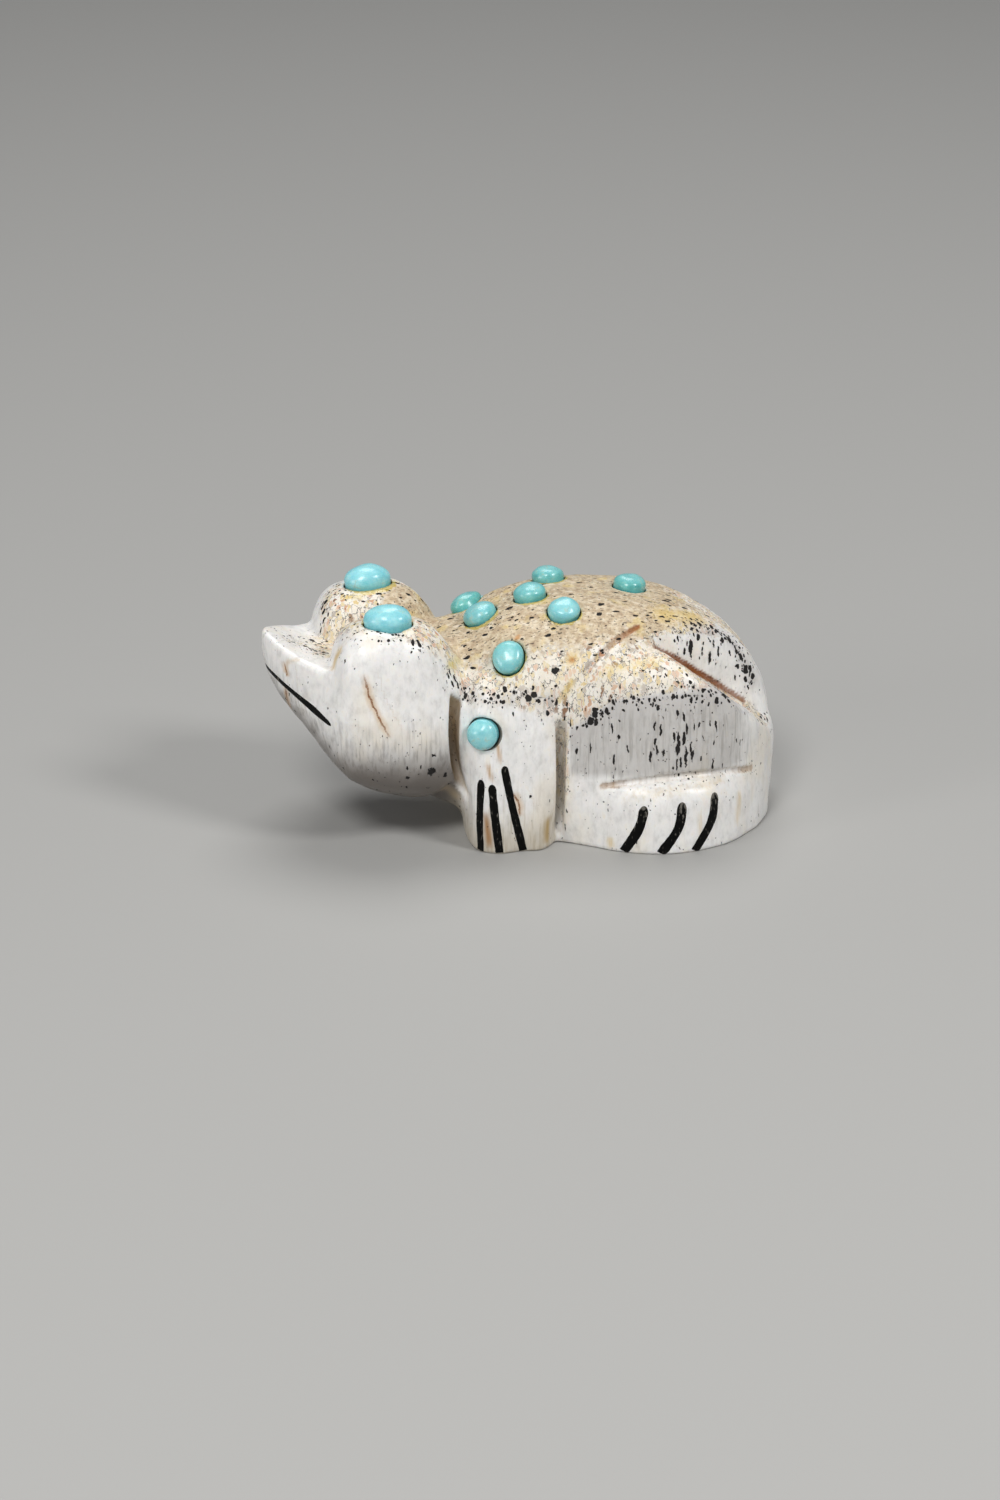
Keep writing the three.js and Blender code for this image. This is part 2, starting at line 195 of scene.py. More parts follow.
def surface_along(origins, directions, form=blank, outside=80):
    """Where rays from inside meet the form's surface, found by marching inwards."""
    reach = np.full(len(origins), float(outside))
    for _ in range(120):
        reach -= 0.8 * form(*(origins + reach[:, None] * directions).T)
    return origins + reach[:, None] * directions


def burr_path(points):
    """A burr line on the right-hand side, laid on the surface."""
    path = smooth_path(points, PATH_POINTS)
    middles = np.column_stack([path[:, 0], 0 * path[:, 0], 0 * path[:, 0] + HAUNCH_MIDDLE])
    outwards = path - middles
    return surface_along(middles, outwards / norm(outwards, axis=1)[:, None])


def slopes(form, place, step=0.05):
    """The form's gradient at each place."""
    steps = np.eye(3) * step
    return np.column_stack([(form(*(place + s).T) - form(*(place - s).T)) / (2 * step) for s in steps])


BURR_PATHS = {name: burr_path(points) for name, points in BURR_LINES.items()}

# The stones' seats, drilled before the stones go in: sizes in millimetres, and each place is
# met from above at (x, y) or from beside at (x, z), on the side given
SEAT_DEPTH = 1.2
GLUE_GAP = 0.15
EYE = dict(length=5.7, width=4.4, rise=2.1)
SPOT = dict(length=3.9, width=3.7, rise=1.5, turn=0)
STONES = {
    "left_eye": dict(EYE, turn=-8, above=(-26.7, -11.5)),
    "right_eye": dict(EYE, turn=8, above=(-26.7, 11.5)),
    "left_leg_spot": dict(SPOT, length=3.7, beside=(-10, 24.4), side=-1),
    "right_leg_spot": dict(SPOT, length=3.7, beside=(-10, 24.4), side=1),
    "back_spot_1": dict(SPOT, length=4.1, turn=60, above=(-3.8, -14.6)),
    "back_spot_2": dict(SPOT, length=4.2, turn=20, above=(-6.8, -1.7)),
    "back_spot_3": dict(SPOT, length=4.8, turn=50, above=(-7.6, 8.5)),
    "back_spot_4": dict(SPOT, above=(-3.2, 15.8)),
    "back_spot_5": dict(SPOT, above=(3, -1.5)),
    "back_spot_6": dict(SPOT, above=(8.4, 7.4)),
    "back_spot_7": dict(SPOT, turn=10, above=(8, -9.8)),
    "back_spot_8": dict(SPOT, above=(23.6, 2.4)),
}


def placed(mark):
    """Where a mark that is met from above or from beside lies on the blank."""
    if "above" in mark:
        origin, way = (*mark["above"], 0), (0, 0, 1)
    else:
        origin, way = (mark["beside"][0], 0, mark["beside"][1]), (0, mark.get("side", -1), 0)
    return surface_along(np.array([origin], float), np.array([way], float))[0]


def stone_frame(stone):
    """A stone's middle on the surface, and the ways along it, across it and up."""
    point = placed(stone)
    up = slopes(blank, point[None], 2)[0]
    up /= norm(up)
    turn = radians(stone["turn"])
    across = np.cross(up, (cos(turn), sin(turn), 0))
    across /= norm(across)
    return point, np.cross(across, up), across, up


STONE_FRAMES = {name: stone_frame(stone) for name, stone in STONES.items()}


def rim_distance(name, place):
    """How far outside a stone's rim each place is, and how far above its seat's floor."""
    stone = STONES[name]
    point, along, across, up = STONE_FRAMES[name]
    half_length = (stone["length"] / 2 + GLUE_GAP) * MM / UNIT
    half_width = (stone["width"] / 2 + GLUE_GAP) * MM / UNIT
    away = place - point
    radius = np.hypot(away @ along / half_length, away @ across / half_width)
    return (radius - 1) * half_width, away @ up + (SEAT_DEPTH + GLUE_GAP) * MM / UNIT


def ripple(x, y, z):
    """The slight unevenness that grinding and polishing by hand leave."""
    long_waves = np.sin(0.31 * x + 0.17 * y + 0.8) * np.sin(0.27 * z - 0.21 * y) * np.sin(0.23 * y + 0.19 * x)
    short_waves = np.sin(0.83 * x - 0.47 * z) * np.sin(0.71 * y + 0.52 * z + 1.3)
    # The front leg's outer face is ground in three upright flats
    flats = 0.35 * np.cos(pi * (x + 0.06 * z - 1.6) / 4.4) * np.clip((30 - z) / 8, 0, 1)
    on_leg = np.clip(1.4 - np.abs(x + 3) / 6, 0, 1) * np.clip((np.abs(y) - 15) / 4, 0, 1)
    return 0.22 * long_waves + 0.06 * short_waves - flats * on_leg


def carving(x, y, z):
    """The distance to the finished carving's surface."""
    form = blank(x, y, z) + ripple(x, y, z)
    for cut in WHEEL_CUTS.values():
        form = meet(form, -wheel_distance(cut, x, y, z), 0.5)
    near = np.abs(form) < 4
    for name, path in BURR_PATHS.items():
        low, high = path.min(0) - 3, path.max(0) + 3
        close = near & (x > low[0]) & (x < high[0]) & (z > low[2]) & (z < high[2]) & (np.abs(y) > low[1])
        gap, along, _, _ = from_line(path, np.column_stack([x[close], np.abs(y[close]), z[close]]))
        runs_out = 1 - 0.75 * np.abs(2 * along - 1) ** 6
        form[close] = meet(form[close], BURR_RADII[name] * runs_out - gap, 0.4)
    for name, (point, *_) in STONE_FRAMES.items():
        close = near & (np.abs(x - point[0]) < 6) & (np.abs(y - point[1]) < 6) & (np.abs(z - point[2]) < 6)
        rim, floor = rim_distance(name, np.column_stack([x[close], y[close], z[close]]))
        form[close] = meet(form[close], -meet(rim, -floor, 0.3), 0.35)
    return meet(form, -z, 0.6)


# The skin of the carving: one point in each cell of a fine grid that the surface passes
# through, drawn onto the surface, and four-sided faces between them
GRID_STEP = 0.52


def skinned(form, low, high, step, rough=3):
    """A closed skin over a form, which is looked at closely only near its surface."""
    axes = [np.arange(a, b + step, step, dtype=np.float32) for a, b in zip(low, high)]
    axes = [a[: len(a) // rough * rough] for a in axes]
    values = form(*np.meshgrid(*[a[rough // 2 :: rough] for a in axes], indexing="ij"))
    values = values.repeat(rough, 0).repeat(rough, 1).repeat(rough, 2)
    near = np.abs(values) < 2.2 * rough * step
    values[near] = form(*[a[near] for a in np.meshgrid(*axes, indexing="ij")])
    inside = values < 0
    cells = tuple(n - 1 for n in values.shape)
    total, count = np.zeros(cells + (3,)), np.zeros(cells, int)
    crossings = []
    for axis in range(3):
        first = [slice(None)] * 3
        second = [slice(None)] * 3
        first[axis], second[axis] = slice(0, -1), slice(1, None)
        a, b = values[tuple(first)], values[tuple(second)]
        index = np.argwhere(inside[tuple(first)] != inside[tuple(second)])
        at = tuple(index.T)
        point = index.astype(float)
        point[:, axis] += a[at] / (a[at] - b[at])
        others = [o for o in range(3) if o != axis]
        corners = []
        for back in ((0, 0), (1, 0), (1, 1), (0, 1)):
            cell = index.copy()
            cell[:, others[0]] -= back[0]
            cell[:, others[1]] -= back[1]
            np.add.at(total, tuple(cell.T), point)
            np.add.at(count, tuple(cell.T), 1)
            corners.append(cell)
        leaving = inside[tuple(first)][at] ^ (axis == 1)
        crossings.append((corners, leaving))
    used = np.argwhere(count > 0)
    number = np.full(cells, -1)
    number[tuple(used.T)] = np.arange(len(used))
    place = total[tuple(used.T)] / count[tuple(used.T)][:, None]
    place = place * step + np.array([a[0] for a in axes])
    for _ in range(3):
        slope = slopes(form, place)
        move = form(*place.T)[:, None] * slope / np.maximum((slope**2).sum(1), 0.2)[:, None]
        place -= np.clip(move, -step / 2, step / 2)
    faces = []
    for corners, leaving in crossings:
        quads = np.column_stack([number[tuple(c.T)] for c in corners])
        faces.append(np.where(leaving[:, None], quads, quads[:, ::-1]))
    return place, np.vstack(faces)


def mesh_of(name, place, faces):
    mesh = bpy.data.meshes.new(name)
    mesh.from_pydata(place.tolist(), [], faces.tolist())
    mesh.shade_smooth()
    return mesh


def add_object(name, mesh):
    piece = bpy.data.objects.new(name, mesh)
    scene.collection.objects.link(piece)
    return piece


# From the form's own units to the frame, by the hind foot's rearmost point
foot_end = MASSES["foot"]["at"][0] + MASSES["foot"]["half"][0]
OFFSET = np.array([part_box("antler_body")[1][0] - foot_end * UNIT, 0, 0])


def to_frame(place):
    return place * UNIT + OFFSET


skin, skin_faces = skinned(carving, (-50.6, -30.6, -1.3), (52, 30.6, 47), GRID_STEP)
skin_normal = slopes(carving, skin)
skin_normal /= norm(skin_normal, axis=1)[:, None]
carving_mesh = mesh_of("carving", to_frame(skin), skin_faces)
carving_piece = add_object("carving", carving_mesh)


# The marks that the antler's growth and the carver's work left, kept on the skin: how deep in
# the antler each point was, stained grooves, stains, cracks, and the glue round the stones.
# Painted shade is laid in with them: in some grooves, on the undersides and lower sides, and
# in the stones' seats.
# Widths are in millimetres, and each mark is met from above or beside as a stone's seat is.
def paint(mesh, name, values):
    """Stores one number, one arrow, or one colour with its amount, at each point."""
    kind, field = {1: ("FLOAT", "value"), 3: ("FLOAT_VECTOR", "vector"), 4: ("FLOAT_COLOR", "color")}[
        1 if values.ndim == 1 else values.shape[1]
    ]
    layer = mesh.attributes.new(name, kind, "POINT")
    layer.data.foreach_set(field, values.astype(np.float32).ravel())


def shade(code):
    """A hex colour code as Blender's linear colour."""
    parts = [int(code[i : i + 2], 16) / 255 for i in (1, 3, 5)]
    return (*[c / 12.92 if c <= 0.04045 else ((c + 0.055) / 1.055) ** 2.4 for c in parts], 1.0)


def ease(values, start, end):
    share = np.clip((values - start) / (end - start), 0, 1)
    return share * share * (3 - 2 * share)


paint(carving_mesh, "outward", skin_normal)

# The spongy core runs along the middle of the slab, narrows towards the head, and lies high
# over the front legs. The haunch's side and the wall over it are rind.
mm_x, mm_y, mm_z = (to_frame(skin) / MM).T
at_x, at_y, at_z = skin[:, 0], np.abs(skin[:, 1]), skin[:, 2]
facing_up = skin_normal[:, 2]
below = np.maximum(25 - mm_z, 0)
core_width = 12.9 + 0.25 * mm_x + np.clip((mm_z - 24) / 3, 0, 1) * (1.6 - 0.08 * mm_x)
core = np.hypot((mm_x - 2 - 0.3 * below) / np.maximum(26.5 - 0.3 * below, 12), mm_y / core_width)
depth = (core - 1) * 14 + 0.45 * np.maximum(11 - mm_z, 0)
on_leg = ease(at_x, -15, -13) * ease(at_x, 5, 3) * ease(at_y, 13, 16)
depth += 1.3 * on_leg * np.maximum(18.6 - mm_z, 0)
behind = ease(at_x, 5.6, 7.6)
edge_height = np.interp(at_x, (8, 11, 15, 20, 32, 40), (25, 27.7, 30.5, 31.3, 31.8, 30.6))
beside = behind * ease(at_y, 16, 18.5) * ease(at_z - edge_height, 0.8, -0.8)
wall = behind * ease(facing_up, 0.6, 0.3) * ease(at_y, 18.5, 16) * ease(at_x, 20, 24)
openness = np.interp(depth, (-5, -2.5, 0, 1.2, 3, 5), (0, 0.06, 0.42, 0.9, 0.42, 0))
depth += np.maximum(3.4 - depth, 0) * np.maximum(beside, wall)

# The pores are thickest along the haunch's edge, over the front leg, and in one place on the
# haunch's side
thicket = np.exp(-(((at_x - 28.5) / 5) ** 2) - ((at_z - 21) / 8) ** 2)
side_openness = 0.5 + 0.42 * thicket - 0.36 * ease(at_x, 34, 38) - 0.16 * ease(at_x, 17, 13)
side_openness *= ease(at_z, 12, 15)
openness += (0.66 * ease(at_x, 47, 41) * ease(at_z, 19, 24) - openness) * wall
openness += (side_openness - openness) * beside
row = behind * ease(at_y, 15, 18) * np.exp(-(((at_z - edge_height + 0.9) / 2.4) ** 2)) * ease(at_x, 42, 37)
leg_top = ease(at_x, -15, -13) * ease(at_x, 6, 4) * ease(at_y, 13, 15) * np.exp(-(((at_z - 31) / 2) ** 2))
folded = np.column_stack([at_x, at_y, at_z])
ridge = np.array([(33, 10.8, 39.6), (39.2, 8.4, 37.2), (42.6, 7.7, 34), (44.7, 7.6, 30.7), (46.4, 7.2, 26)])
from_ridge = from_line(ridge, folded)[0]
on_ridge = 1.2 * np.exp(-((from_ridge / 2.2) ** 2))
depth += np.maximum(3.4 - depth, 0) * ease(from_ridge, 4.5, 2) * ease(at_x, 36.5, 40)
row = np.maximum(np.maximum(row, leg_top), on_ridge)
ledge = np.array([(14, 27, 11.8), (22, 28, 12.9), (30, 28, 13.6), (36, 25, 13.3)])
on_ledge = np.exp(-((from_line(ledge, folded)[0] / 1.5) ** 2)) * ease(facing_up, -0.2, 0.2)
underneath = ease(facing_up, 0.05, -0.55) * ease(at_x, -8, -14)
openness += 0.3 * underneath + 0.25 * on_ledge
paint(carving_mesh, "depth", depth)
by_rump = from_line(BURR_PATHS["rump"], folded)[0]
sunk = -blank(*skin.T) * UNIT / MM
openness *= ease(by_rump, 0.9, 2) * ease(sunk, 0.6, 0.25) * (1 - 0.7 * row)
paint(carving_mesh, "openness", openness)
paint(carving_mesh, "row", row)

# What has settled in each groove, how wide, and how much of it at its start, middle and end.
# The flank groove's light grey is painted shade, and the foot line's brown is partly painted shade.
GROOVE_STAIN_AND_SHADE = {
    "neck": dict(colour="#B39A76", amount=0.8), "flank": dict(colour="#CFCBC5", amount=0.6),
    "thigh": dict(colour="#96581D", width=0.8, amounts=(0.15, 0.45, 1)),
    "rump": dict(colour="#85480F", width=0.85, amounts=(0.85, 1, 0.85)),
    "foot": dict(colour="#9A7444", width=0.85, amounts=(0.75, 0.9, 0.7)),
}
# Each stain: from above or beside, its places, width, colour and amount. These places, and
# those of the ridge, the cracks and the voids, were picked in the photograph. A ray script
# carried most of them onto the form, and some were then moved by hand.
STAINS = (
    ("above", ((27.5, -10), (31, -9), (34.5, -7.2)), 2.4, "#DDBF6E", 0.75),
    ("above", ((-13.3, -11.6), (-15.4, -15.4)), 1, "#C9BC5C", 0.6),
    ("above", ((7.7, -18.4), (8.1, -18.3)), 1.5, "#E0BC4C", 0.7),
    ("above", ((7.8, -18.4), (8, -18.4)), 0.5, "#B9732A", 0.9),
    ("beside", ((8.2, 35), (6.7, 32.6), (5, 30)), 0.7, "#DDBF5E", 0.7),
    ("above", ((-2, -12.6), (-1.4, -12.5)), 0.5, "#D08A3A", 0.8),
    ("above", ((14.5, -21), (18, -20.9), (23.5, -21)), 1.3, "#EAD28C", 0.55),
    ("beside", ((-36, 41.4), (-37.1, 38.9), (-38.1, 36.7)), 1.3, "#CFAE62", 0.7),
    ("above", ((-32, 6.7), (-29.1, 6.1)), 0.8, "#D9C06C", 0.7),
    ("beside", ((-35.8, 41.6), (-37, 39.2), (-38.1, 36.7)), 0.7, "#D6B97C", 0.8),
    ("beside", ((-46.2, 36.4), (-44.8, 37.7), (-43.2, 38)), 0.5, "#CDAE80", 0.6),
    ("beside", ((-7.6, 24.5), (-6.7, 18.2)), 0.5, "#B98C50", 0.95),
    ("beside", ((-9.3, 19), (-8.4, 14.8)), 0.5, "#B98C50", 0.85),
    ("beside", ((-9.7, 9), (-8.9, 1)), 0.65, "#A07038", 0.95),
    ("beside", ((14.1, 3), (14.6, 0.4)), 0.8, "#D9BE80", 0.7),
    ("beside", ((39.9, 10.3), (39.5, 2.7)), 0.7, "#D8BC85", 0.6),
    ("beside", ((31, 8.5), (31.3, 2.5)), 0.6, "#DCC391", 0.55),
    ("beside", ((-15.3, 32.5), (-16.1, 25), (-15.5, 19), (-14, 12.5)), 0.42, "#4F3B26", 0.85),
    ("beside", ((2.6, 7), (2.3, 1)), 0.8, "#B0904F", 0.85),
    ("beside", ((19, 3), (19.1, 0.8)), 0.35, "#8C7F6A", 0.7),
    ("beside", ((-17.2, 11.8), (-13.2, 8.1)), 1.1, "#CDB48C", 0.5),
)
# Each crack, met from beside: its places, and how pale it is
CRACKS = (
    (((-32.7, 38), (-31.8, 33.6), (-30.3, 29.7), (-27.9, 24.9)), 0.15),
    (((-46.4, 37), (-46, 34.4), (-46, 32)), 0.5),
    (((-46, 31.4), (-45.7, 29.6), (-45.1, 27.4), (-44.4, 25.4)), 0.05),
    (((-4.3, 12.5), (-3.2, 10.2), (-3, 7.2)), 0.1),
)
CRACK_POINTS = 16
# How far the painted shade of a seat's gap is moved, along and across the stone in millimetres, where the gap
# is wider on one side.
SHADED_GAPS = {"left_leg_spot": (0.26, -0.06), "right_leg_spot": (0.2, -0.1)}
GLUE = {
    "back_spot_2": (0, -0.8), "back_spot_5": (0, -0.6), "back_spot_6": (0, -0.55),
    "back_spot_3": (-0.1, -0.6), "back_spot_1": (0, -0.3), "back_spot_7": (0, -0.4),
    "left_eye": (0, 0.45), "right_eye": (0.25, -0.85),
}


def mark_line(view, places):
    """A mark's line on the surface, met from above or from the left."""
    return np.array([placed({view: place}) for place in places])


tint = np.zeros((len(skin), 4))


def lay(colour, amount):
    """Lays a colour, stain and painted shade alike, over those already laid, by an amount at each point."""
    amount = np.clip(amount, 0, 1)[:, None]
    total = amount + tint[:, 3:] * (1 - amount)
    mixed = np.array(shade(colour)[:3]) * amount + tint[:, :3] * tint[:, 3:] * (1 - amount)
    tint[:, :3] = mixed / np.maximum(total, 1e-6)
    tint[:, 3:] = total


# Partly the antler's own grey-brown tone and partly painted shade: grey on the haunch's side, darker on the
# undersides of the head and chest, darker towards the bottom of the cheek, and tan-grey low on the front leg.
lay("#96918B", beside * ease(at_z, 13.5, 16) * ease(at_x, 46, 38) * 0.7)
lay("#736C66", underneath * 0.9)
lay("#766F69", ease(at_z, 30, 14) * ease(at_x, -13, -15) * ease(at_y, 5, 11) * 0.95)
lay("#AC9D7E", ease(at_x, -16, -13) * ease(at_x, 6, 4) * ease(at_z, 15, 1) * 0.75)
lay("#CBC7C4", row * 0.7)
lay("#DCC8A0", on_ledge * 0.55)
# Neck groove: brown stain. Flank groove: light grey, painted shade.
for name, cut in WHEEL_CUTS.items():
    inside = ease(-wheel_distance(cut, *skin.T), -0.5, 0.1) * ease(sunk, 0.05, 0.5)
    lay(GROOVE_STAIN_AND_SHADE[name]["colour"], inside * GROOVE_STAIN_AND_SHADE[name]["amount"])
# Burr lines: brown stain along the thigh and rump; along the foot, partly painted shade.
for name, path in BURR_PATHS.items():
    gap, along, _, _ = from_line(path, folded)
    groove_tone = GROOVE_STAIN_AND_SHADE[name]
    amount = np.interp(along, (0, 0.5, 1), groove_tone["amounts"])
    lay(groove_tone["colour"], ease(gap, groove_tone["width"], 0.6 * groove_tone["width"]) * amount)
for view, places, width, colour, most in STAINS:
    gap, along, _, _ = from_line(mark_line(view, places), skin)
    amount = ease(gap * UNIT / MM, 1.15 * width, 0.1 * width) * most
    if view == "beside":
        amount *= 1 - 0.9 * np.abs(2 * along - 1) ** 4
    lay(colour, amount)
paint(carving_mesh, "stain_and_shade", tint)

crack = np.tile((9.0, 0, 0), (len(skin), 1))
for places, tone in CRACKS:
    gap, along, out, run = from_line(smooth_path(mark_line("beside", places), CRACK_POINTS), skin)
    side = np.cross(run, skin_normal)
    side /= np.maximum(norm(side, axis=1), 1e-6)[:, None]
    near = gap < 3
    crack[near, 0] = (out * side).sum(1)[near] * UNIT / MM
    crack[near, 1] = (1 - np.abs(2 * along - 1) ** 4)[near]
    crack[near, 2] = tone
paint(carving_mesh, "crack", crack)

# The distance to each stone's rim, for the painted shade in its seat's gap, and to its glue.
rim, glue = np.full(len(skin), 9.0), np.full(len(skin), 9.0)
for name, (point, along, across, up) in STONE_FRAMES.items():
    near = norm(skin - point, axis=1) < 7
    for shift in ((0, 0), SHADED_GAPS.get(name, (0, 0))):
        moved = skin[near] - (shift[0] * along + shift[1] * across) * MM / UNIT
        rim[near] = np.minimum(rim[near], rim_distance(name, moved)[0] * UNIT / MM)
    if name in GLUE:
        shift = np.array([*GLUE[name], 0]) * MM / UNIT
        glue[near] = np.minimum(glue[near], rim_distance(name, skin[near] - shift)[0] * UNIT / MM)
paint(carving_mesh, "rim", rim)
paint(carving_mesh, "glue", glue)


# The antler. Under the polish are a hard white rind with grey grain and cream patches, a band
# of open black pores, rosy cells, and a tan core. The pores run up and down, so they are
# round where the carving is cut across and long on its walls.
def add(kind, inputs=None, **settings):
    """A new node in the current tree; its inputs take values or other nodes' outputs."""
    made = tree.nodes.new(kind)
    for key, value in settings.items():
        setattr(made, key, value)
    for key, value in (inputs or {}).items():
        if isinstance(value, bpy.types.NodeSocket):
            tree.links.new(value, made.inputs[key])
        else:
            made.inputs[key].default_value = value
    return made


def sums(operation, *values, clamp=False):
    return add("ShaderNodeMath", dict(enumerate(values)), operation=operation, use_clamp=clamp).outputs[0]


times, plus, minus = (partial(sums, kind) for kind in ("MULTIPLY", "ADD", "SUBTRACT"))
times_plus, larger, smaller = (partial(sums, kind) for kind in ("MULTIPLY_ADD", "MAXIMUM", "MINIMUM"))


def swayed(wave, amount, value):
    """A value moved up and down by a wave that runs from 0 to 1."""
    return times_plus(minus(wave, 0.5), amount, value)


def arrows(operation, *values):
    return add("ShaderNodeVectorMath", dict(enumerate(values)), operation=operation).outputs[0]


def stretched(vector, sizes):
    return arrows("MULTIPLY", vector, sizes)


def noise(vector, scale, detail=2.0, roughness=0.5, output="Fac"):
    inputs = {"Vector": vector, "Scale": scale, "Detail": detail, "Roughness": roughness}
    return add("ShaderNodeTexNoise", inputs).outputs[output]


def ranged(value, low, high, to_low=0.0, to_high=1.0):
    inputs = {"Value": value, "From Min": low, "From Max": high, "To Min": to_low, "To Max": to_high}
    return add("ShaderNodeMapRange", inputs, interpolation_type="SMOOTHSTEP").outputs["Result"]


def blended(share, first, second):
    """Two colours mixed, each another node's output or a colour code."""
    first, second = [shade(c) if isinstance(c, str) else c for c in (first, second)]
    return add("ShaderNodeMix", {0: share, 6: first, 7: second}, data_type="RGBA").outputs[2]


def banded(value, stops, how="LINEAR"):
    """A row of colours or levels that a value from 0 to 1 picks from."""
    made = add("ShaderNodeValToRGB", {0: value})
    made.color_ramp.interpolation = how
    elements = made.color_ramp.elements
    while len(elements) < len(stops):
        elements.new(1)
    for element, (at, colour) in zip(elements, stops):
        element.position = at
        element.color = shade(colour) if isinstance(colour, str) else (colour, colour, colour, 1)
    return made.outputs[0]


def stored(name, output="Fac"):
    return add("ShaderNodeAttribute", attribute_name=name).outputs[output]


def in_millimetres():
    coordinates = add("ShaderNodeTexCoord").outputs["Object"]
    return stretched(coordinates, (1 / MM,) * 3)


def new_group(name, inputs, outputs):
    """A shader group with its named sockets."""
    tree = bpy.data.node_groups.new(name, "ShaderNodeTree")
    for label, kind, default in inputs:
        socket = tree.interface.new_socket(label, in_out="INPUT", socket_type=kind)
        if default is not None:
            socket.default_value = default
    for label, kind in outputs:
        tree.interface.new_socket(label, in_out="OUTPUT", socket_type=kind)
    return tree, tree.nodes.new("NodeGroupInput").outputs, tree.nodes.new("NodeGroupOutput").inputs


# What rouge and a felt wheel leave on each of the frog's materials: low waves, fine hairline
# scratches and slightly duller places
FLOAT, WHOLE = "NodeSocketFloat", "NodeSocketInt"
tree, given, result = new_group(
    "hand polish",
    [("Place", "NodeSocketVector", None), ("Waves", FLOAT, 0.02), ("Scratches", FLOAT, 0.004)],
    [("Height", FLOAT), ("Dulling", FLOAT)],
)
waves = noise(given["Place"], 0.7, 2)
scratched = plus(*[noise(stretched(given["Place"], sizes), 1.0, 2) for sizes in ((0.9, 7, 9), (8, 0.8, 6))])
height = times_plus(scratched, given["Scratches"], times(waves, given["Waves"]))
tree.links.new(height, result["Height"])
tree.links.new(times(noise(given["Place"], 1.9, 4), scratched), result["Dulling"])
hand_polish = tree


def voronoi(vector, scale, feature="F1"):
    return add("ShaderNodeTexVoronoi", {"Vector": vector, "Scale": scale}, feature=feature).outputs


def polished(place, waves, scratches):
    inputs = {"Place": place, "Waves": waves, "Scratches": scratches}
    return add("ShaderNodeGroup", inputs, node_tree=hand_polish).outputs


def surfaced(colour, rough, height, **values):
    """Ends a material: its colour, roughness and relief, and its plain values."""
    bump = add("ShaderNodeBump", {"Height": height, "Distance": MM, "Strength": 1.0})
    tree.links.new(colour, shader.inputs["Base Color"])
    tree.links.new(rough, shader.inputs["Roughness"])
    tree.links.new(bump.outputs["Normal"], shader.inputs["Normal"])
    for name, value in values.items():
        shader.inputs[name.replace("_", " ")].default_value = value


def swirled(scale, amounts):
    """The place, pushed about a little."""
    push = arrows("SUBTRACT", noise(place, scale, 2, output="Color"), (0.5, 0.5, 0.5))
    return arrows("MULTIPLY_ADD", push, amounts, place)


def new_material(name):
    material = bpy.data.materials.new(name)
    material.use_nodes = True
    return material, material.node_tree, material.node_tree.nodes["Principled BSDF"]


antler, tree, shader = new_material("antler")
place = in_millimetres()
broad = noise(place, 0.28, 2)
middling = noise(place, 1.3, 3)
fine = noise(place, 5.5, 3)
deep = swayed(broad, 5.0, stored("depth"))
deep = swayed(middling, 2.6, deep)

# The rind: warm white, with grey grain that runs up and down, and cream patches
grain = noise(stretched(place, (2.6, 2.6, 0.22)), 1.0, 4, 0.6)
clouded = noise(stretched(place, (1.1, 1.1, 0.65)), 1.0, 4, 0.6)
rind = banded(clouded, [(0.3, "#DEDCD9"), (0.46, "#EFEDEA"), (0.6, "#F6F4F1"), (0.76, "#F4EEE3")])
rind = blended(ranged(grain, 0.46, 0.34, 0, 0.28), rind, "#D9D7D4")
cream = ranged(noise(stretched(place, (1, 1, 0.45)), 0.22, 2), 0.5, 0.68)
rind = blended(times(cream, 0.4), rind, "#F1E5CE")

# The rosy cells: little chambers with pale walls
warped = swirled(1.9, (0.7, 0.7, 1.2))
chambers = stretched(warped, (1, 1, 0.35))
CELLS = 2.05                    # cells in a millimetre
picked = add("ShaderNodeSeparateColor", {0: voronoi(chambers, CELLS)["Color"]})
to_wall = voronoi(chambers, CELLS, "DISTANCE_TO_EDGE")["Distance"]
cells = banded(picked.outputs[0], [
    (0.0, "#EEE6D8"), (0.26, "#E2CFA3"), (0.44, "#F2EDE4"), (0.56, "#DDB79C"), (0.65, "#DDC48C"),
    (0.76, "#B9AEA2"), (0.84, "#CC9B78"), (0.9, "#8A6446"), (0.94, "#EEE6D8"),
], "CONSTANT")
walls = ranged(to_wall, 0.05, 0.15, 1, 0)
cells = blended(times(walls, 0.8), cells, "#F2EDE4")
cells = blended(ranged(broad, 0.42, 0.6, 0.36, 0.06), cells, "#EEE3CE")
outlined = times(ranged(to_wall, 0.015, 0.06, 1, 0), ranged(noise(place, 1.05, 2), 0.45, 0.55))

# The core: tan and soft, with yellow patches
tan = banded(middling, [(0.3, "#B7A083"), (0.48, "#CFBC9D"), (0.62, "#DFCFB4"), (0.75, "#EADEC8")])
mealy = noise(stretched(place, (0.45, 1, 1)), 4.2, 3, 0.6)
tan = blended(ranged(mealy, 0.5, 0.66, 0, 0.75), tan, "#9B836C")
yellow = ranged(noise(place, 0.42, 3), 0.56, 0.68)
tan = blended(times(yellow, 0.45), tan, "#E2C87E")

colour = blended(ranged(deep, 0.2, 2.6), cells, rind)
colour = blended(ranged(deep, -2.4, -4.6), colour, tan)

# The pores: open channels that run up and down, dark dashes along the core, and grey specks
crowding = swayed(broad, 0.6, stored("openness"))
crowding = swayed(middling, 0.25, crowding)
bent = swirled(1.1, (0.6, 0.6, 0.9))


